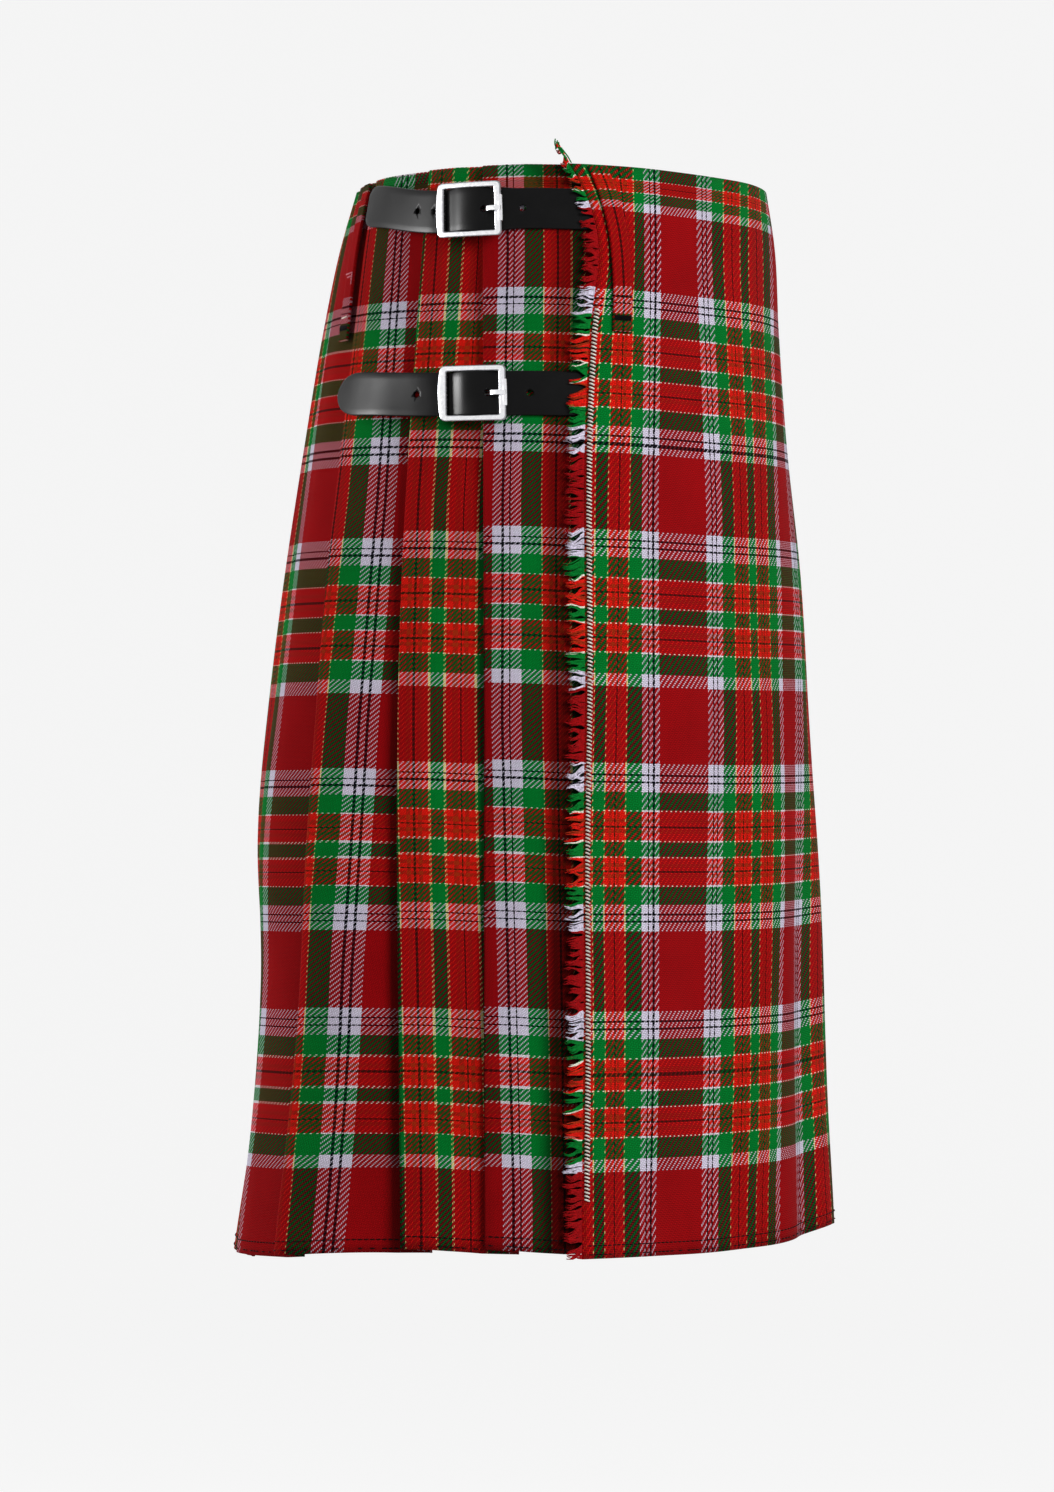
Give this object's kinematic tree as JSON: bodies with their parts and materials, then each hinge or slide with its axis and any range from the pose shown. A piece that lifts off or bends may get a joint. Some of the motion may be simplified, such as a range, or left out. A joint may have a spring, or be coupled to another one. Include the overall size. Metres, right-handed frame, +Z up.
{
  "type": "kilt",
  "caption": "Knee-length tartan kilt in its worn shape: wrapped front aprons with a frayed free edge, knife pleats round the back, belt loops, and leather straps buckled at the hips.",
  "frame": {"origin": "middle of the waist opening, level with the waist edge at the sides, where the wearer holds it", "axes": "+Z up the wearer, +X the way the wearer faces, +Y to the wearer's left; the fastened free edge is on the right hip at -Y"},
  "size_m": [0.3493, 0.3896, 0.6267],
  "materials": {
    "tartan_wool": "woven twill tartan, matt with a slight nap",
    "frayed_wool": "loose weft ends of the tartan, matt",
    "bridle_leather": "black, smooth, waxed to a low sheen",
    "nickel_plate": "bright nickel plate"
  },
  "bodies": {
    "root": {"over_apron": "tartan_wool", "under_apron": "tartan_wool", "pleats_right": "tartan_wool", "pleats_back": "tartan_wool", "pleats_left": "tartan_wool", "apron_fringe": "frayed_wool", "loop_right_apron": "tartan_wool", "loop_right_back": "tartan_wool", "loop_left_apron": "tartan_wool", "loop_left_back": "tartan_wool", "strap_upper": "bridle_leather", "strap_lower": "bridle_leather", "strap_left": "bridle_leather", "chape_upper": "bridle_leather", "chape_lower": "bridle_leather", "chape_left": "bridle_leather", "buckle_upper": "nickel_plate", "buckle_lower": "nickel_plate", "buckle_left": "nickel_plate", "prong_upper": "nickel_plate", "prong_lower": "nickel_plate", "prong_left": "nickel_plate"}
  },
  "joints": []
}
